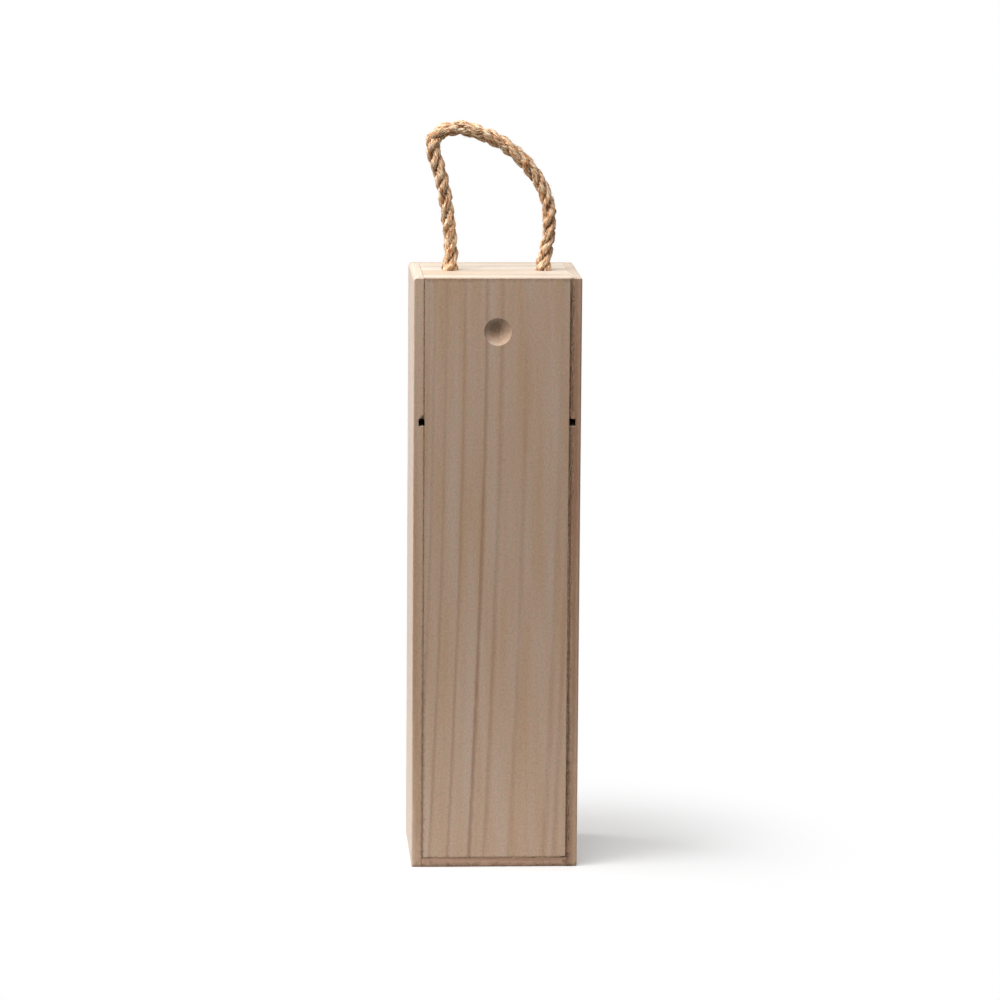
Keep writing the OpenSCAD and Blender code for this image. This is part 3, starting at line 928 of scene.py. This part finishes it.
@dataclass(frozen=True)
class SplitPine:
    """Splinters of pine: pale where they are freshly split, dark where dust has settled on them."""

    name: str = "split_pine"
    pale: str = "#cbaa8c"
    dark: str = "#6a4429"

    def material(self) -> bpy.types.Material:
        """The splinters' material, of one tone along each splinter."""
        made = bpy.data.materials.new(self.name)
        tree = emptied(made)
        straight = add(tree, "Attribute", attribute_name="straight")
        along = add(tree, "VectorMath", {0: straight.outputs["Vector"], 1: (0.7, 0.7, 0.45)}, operation="MULTIPLY")
        tone = add(tree, "TexNoise", {"Vector": along, "Scale": 1.0, "Detail": 1.0})
        share = add(tree, "MapRange", {0: tone, 1: 0.36, 2: 0.62})
        colour = add(tree, "Mix", {"Factor": share, 6: srgb(self.dark), 7: srgb(self.pale)},
                     data_type="RGBA").outputs[2]
        rough = add(tree, "Math", {0: tone, 1: 0.3, 2: 0.6}, operation="MULTIPLY_ADD")
        shader = add(tree, "BsdfPrincipled", {"Base Color": colour, "Roughness": rough, "IOR": 1.5})
        add(tree, "OutputMaterial", {"Surface": shader})
        return made


@dataclass
class TornEdges:
    """Splinters and fuzz that the saw and the lid have raised on the box along the seams round the lid."""

    finish: bpy.types.Material
    height: float = 357.0
    # Between these heights the seams pass the open ends of the housings, and are bare
    notch: tuple[float, float] = (267.6, 273.8)
    # Between these the right board is torn least
    sound: tuple[float, float] = (60.0, 240.0)
    longest: float = 7.0
    # X of the torn bevel, and of the seams on both sides of the lid
    torn: tuple[float, float] = (43.3, 45.3)
    right_seam: tuple[float, float] = (43.13, 43.75)
    left_seam: tuple[float, float] = (-43.85, -43.43)
    # Heights of the seam under the lid at its left end, and how much wider it is at its right end
    foot_seam: tuple[float, float] = (5.34, 5.82)
    widens: float = 0.3
    # How many of each kind: splinters and flush slivers on the right, fibres on the left and under the lid
    splinters: int = 640
    slivers: int = 420
    left_fibres: int = 1900
    foot_fibres: int = 760
    seed: int = 17

    def build(self) -> bpy.types.Object:
        """Builds the splinters, which stay clear of the lid as it slides.

        Returns:
            The piece.
        """
        rng = np.random.default_rng(self.seed)
        skin = Skin(row=60)
        self.tear_right(skin, rng)
        self.fill_left(skin, rng)
        self.fill_foot(skin, rng)
        piece = skin.build("torn_edges", self.finish)
        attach(piece, "box")
        log.info("torn edges, %d faces", len(piece.data.polygons))
        return piece

    def clear(self, low: float, long: float) -> bool:
        """Whether a splinter of that length from that height stays clear of the housings' open ends."""
        return low + long < self.notch[0] or low > self.notch[1]

    def tear_right(self, skin: Skin, rng: np.random.Generator) -> None:
        """Adds splinters along the torn bevel of the right board, and slivers that lie flush where it is sounder.

        Args:
            skin: The mesh in the making.
            rng: Where their places come from.
        """
        for _ in range(self.splinters):
            x = rng.uniform(*self.torn)
            # The bevel comes forward by half a millimetre with every millimetre away from the lid
            bevel = -44.1 - 0.5 * max(x - 43.8, 0)
            long = min(1.2 + rng.exponential(2.2), self.longest)
            z = rng.uniform(6.5, self.height - 2 - long)
            y = max(bevel - rng.uniform(0.0, 0.4), -44.9)
            way = (rng.normal(0, 0.05), 0, 1)
            sound = self.sound[0] < z < self.sound[1] and rng.uniform() < 0.75
            if not sound and self.clear(z, long):
                self.splinter(skin, rng, (x, y, z), way, long, rng.uniform(0.1, 0.24))
        for _ in range(self.slivers):
            spot = (rng.uniform(*self.right_seam), rng.uniform(-44.92, -44.8), rng.triangular(45, 160, 240))
            self.splinter(skin, rng, spot, (rng.normal(0, 0.01), 0, 1), 2 + rng.exponential(2.5),
                          rng.uniform(0.1, 0.16))

    def fill_left(self, skin: Skin, rng: np.random.Generator) -> None:
        """Adds the fibres and dust that all but fill the seam on the left.

        Args:
            skin: The mesh in the making.
            rng: Where their places come from.
        """
        for _ in range(self.left_fibres):
            long = min(1.5 + rng.exponential(2.5), self.longest)
            spot = (rng.uniform(*self.left_seam), rng.uniform(-44.94, -44.9), rng.uniform(6.2, self.height - 8))
            if self.clear(spot[2], long):
                self.splinter(skin, rng, spot, (0, 0, 1), long, rng.uniform(0.07, 0.09))

    def fill_foot(self, skin: Skin, rng: np.random.Generator) -> None:
        """Adds the same in the seam under the lid, which widens towards the right.

        Args:
            skin: The mesh in the making.
            rng: Where their places come from.
        """
        for _ in range(self.foot_fibres):
            start = rng.uniform(-43, 37)
            low, high = self.foot_seam
            spot = (start, rng.uniform(-44.95, -44.9), rng.uniform(low, high + self.widens * (start + 43) / 86))
            self.splinter(skin, rng, spot, (1, 0, 0), 1.5 + rng.exponential(2.0), rng.uniform(0.07, 0.1))

    def splinter(self, skin: Skin, rng: np.random.Generator, start: tuple[float, float, float],
                 way: tuple[float, float, float], long: float, radius: float) -> None:
        """Adds one splinter, four-sided and pointed at both ends.

        Args:
            skin: The mesh in the making.
            rng: Where its tone comes from.
            start: Its lower or left end, in millimetres.
            way: Its direction.
            long: Its length, which is cut to the longest that there are.
            radius: Its radius in the middle.
        """
        share = np.linspace(0, 1, 5)
        long = min(long, self.longest)
        ahead = np.array(way) / np.linalg.norm(way)
        line = np.array(start) + share[:, None] * long * ahead
        aside = np.cross(ahead, (0.0, 1.0, 0.0))
        aside /= np.linalg.norm(aside)
        up = np.cross(ahead, aside)
        thick = radius * np.array([0.25, 0.8, 1.0, 0.7, 0.2])[:, None, None]
        around = (math.pi / 4 + np.arange(4) * math.pi / 2)[None, :, None]
        rings = line[:, None] + thick * (aside * np.cos(around) + 0.6 * up * np.sin(around))
        tone = rng.uniform(-60, 60, 3)
        straight = np.repeat((share[:, None] * [0.0, 0.0, long] + tone)[:, None], 4, axis=1)
        skin.tube(rings, straight, np.zeros(rings.shape[:2]), share * long, girth=0.8)


@dataclass
class Brads:
    """The steel brads that pin the boards."""

    nodes: tuple[str, ...] = ("top_brads", "bottom_brads", "back_brads")

    def dress(self, finish: bpy.types.Material) -> None:
        """Gives the brads their steel."""
        for node in self.nodes:
            dress(node, finish)


@dataclass(frozen=True)
class Lamp:
    """One round soft lamp that faces the foot of the box."""

    name: str
    # Direction from the box, in degrees from +X towards +Y, and height over the horizon
    azimuth: float
    elevation: float
    # How far off it is and its diameter, in metres, and its power in watts
    distance: float
    size: float
    power: float

    def hang(self) -> None:
        """Hangs the lamp, turned to a point ten centimetres over the floor."""
        around, above = math.radians(self.azimuth), math.radians(self.elevation)
        away = Vector((math.cos(above) * math.cos(around), math.cos(above) * math.sin(around), math.sin(above)))
        data = bpy.data.lights.new(self.name, "AREA")
        data.shape = "DISK"
        data.size = self.size
        data.energy = self.power
        placed(self.name, data).matrix_world = (Matrix.Translation(Vector((0, 0, 0.1)) + away * self.distance)
                                                @ away.to_track_quat("Z", "Y").to_matrix().to_4x4())


@dataclass
class Studio:
    """A sheet of white paper, a soft lamp high over the front, two lower ones on the left, and the camera."""

    # Place of the camera in millimetres, its turn to the right, tilt down and roll in degrees, and its lens
    eye: tuple[float, float, float] = (-155.9, -2831.8, 665.2)
    yaw: float = 3.242
    pitch: float = 8.98
    roll: float = 0.411
    lens: float = 170.6
    lamps: tuple[Lamp, ...] = (Lamp("key", 255, 69, 1.4, 0.9, 11.2), Lamp("front", 202, 48, 1.4, 1.0, 11.4),
                               Lamp("side", 160, 28, 2.0, 1.0, 12.5))
    room_front: float = 0.0
    room_back: float = 0.66
    # Share of the paper's brightness that is simply added where the camera sees it
    glow: float = 0.19
    paper: str = "#dedede"
    carpet: str = "#484848"
    # Distance from the box at which the paper starts to give way to the carpet, and where it ends, in metres
    sheet: tuple[float, float] = (0.2, 0.4)
    # The same for how far the box's shadow shows on it
    shadow: tuple[float, float] = (0.1, 0.24)
    half_floor: float = 6.0

    def camera(self) -> None:
        """Places the camera by its turn to the right, its tilt down and its roll."""
        yaw, pitch, roll = (math.radians(a) for a in (self.yaw, self.pitch, self.roll))
        ahead = Vector((math.sin(yaw) * math.cos(pitch), math.cos(yaw) * math.cos(pitch), -math.sin(pitch)))
        level = Vector((math.cos(yaw), -math.sin(yaw), 0))
        up = level.cross(ahead)
        right = level * math.cos(roll) + up * math.sin(roll)
        top = up * math.cos(roll) - level * math.sin(roll)
        data = bpy.data.cameras.new("camera")
        data.lens = self.lens
        data.sensor_width = 36.0
        data.clip_end = 50.0
        camera = placed("camera", data)
        camera.matrix_world = (Matrix.Translation(Vector(self.eye) * MM)
                               @ Matrix((right, top, -ahead)).transposed().to_4x4())
        bpy.context.scene.camera = camera

    def seen_directly(self, tree: Tree) -> Feed:
        """One for what the camera sees, by itself or in gloss and glass, and nought for the light on the box.

        Args:
            tree: The nodes of the floor or of the world.

        Returns:
            Its socket.
        """
        ray = add(tree, "LightPath")
        seen = ray.outputs["Is Camera Ray"]
        for way in ("Is Glossy Ray", "Is Transmission Ray"):
            seen = add(tree, "Math", {0: seen, 1: ray.outputs[way]}, operation="MAXIMUM")
        return seen

    def world(self) -> None:
        """An even room, light behind the box and dim in front of it, that looks white wherever it is seen."""
        made = bpy.data.worlds.new("white_room")
        tree = emptied(made)
        way = add(tree, "SeparateXYZ", {0: add(tree, "TexCoord").outputs["Generated"]})
        light = add(tree, "MapRange", {0: way.outputs["Y"], 1: -1.0, 2: 1.0, 3: self.room_front, 4: self.room_back})
        strength = add(tree, "Mix", {"Factor": self.seen_directly(tree), 2: light, 3: 1.0})
        room = add(tree, "Background", {"Color": (1, 1, 1, 1), "Strength": strength})
        add(tree, "OutputWorld", {"Surface": room})
        bpy.context.scene.world = made

    def paper_material(self) -> bpy.types.Material:
        """The floor's material: matt white paper, then grey carpet, with a white that covers both far off."""
        made = bpy.data.materials.new("studio_paper")
        tree = emptied(made)
        away = add(tree, "VectorMath", {0: add(tree, "TexCoord").outputs["Object"]}, operation="LENGTH")
        off, far = (add(tree, "MapRange", {0: away.outputs["Value"], 1: near, 2: end},
                        interpolation_type="SMOOTHSTEP") for near, end in (self.sheet, self.shadow))
        seen = self.seen_directly(tree)
        unseen = add(tree, "Math", {0: 1.0, 1: seen}, operation="SUBTRACT")
        bare = add(tree, "Math", {0: off, 1: unseen}, operation="MULTIPLY")
        colour = add(tree, "Mix", {"Factor": bare, 6: srgb(self.paper), 7: srgb(self.carpet)},
                     data_type="RGBA").outputs[2]
        matt = add(tree, "BsdfDiffuse", {"Color": colour})
        added = add(tree, "Math", {0: seen, 1: self.glow}, operation="MULTIPLY")
        glow = add(tree, "Emission", {"Strength": added})
        lit = add(tree, "AddShader", {0: matt, 1: glow})
        white = add(tree, "Emission", {"Strength": 1.0})
        plain = add(tree, "Math", {0: far, 1: seen}, operation="MULTIPLY")
        shader = add(tree, "MixShader", {0: plain, 1: lit, 2: white})
        add(tree, "OutputMaterial", {"Surface": shader})
        return made

    def floor(self) -> None:
        """A sheet of white paper under the box, on a darker floor that is white where the camera sees it."""
        mesh = bpy.data.meshes.new("floor")
        half = self.half_floor
        mesh.from_pydata([(-half, -half, 0), (half, -half, 0), (half, half, 0), (-half, half, 0)], [], [(0, 1, 2, 3)])
        mesh.materials.append(self.paper_material())
        placed("floor", mesh)

    def build(self) -> None:
        """Sets up the camera, the lamps, the world and the floor."""
        bpy.context.scene.view_settings.view_transform = "Standard"
        self.camera()
        for lamp in self.lamps:
            lamp.hang()
        self.world()
        self.floor()
        log.info("studio with its camera at %s mm", self.eye)


def main() -> None:
    """Builds the studio, the rope, the finishes and the torn edges, in that order."""
    logging.basicConfig(level=logging.INFO, format="%(name)s: %(message)s")
    Studio().build()
    RopeHandle(LaidJute().material()).build()
    Boards().dress()
    TornEdges(SplitPine().material()).build()
    Brads().dress(DrawnSteel().material())


if __name__ == "__main__":
    main()
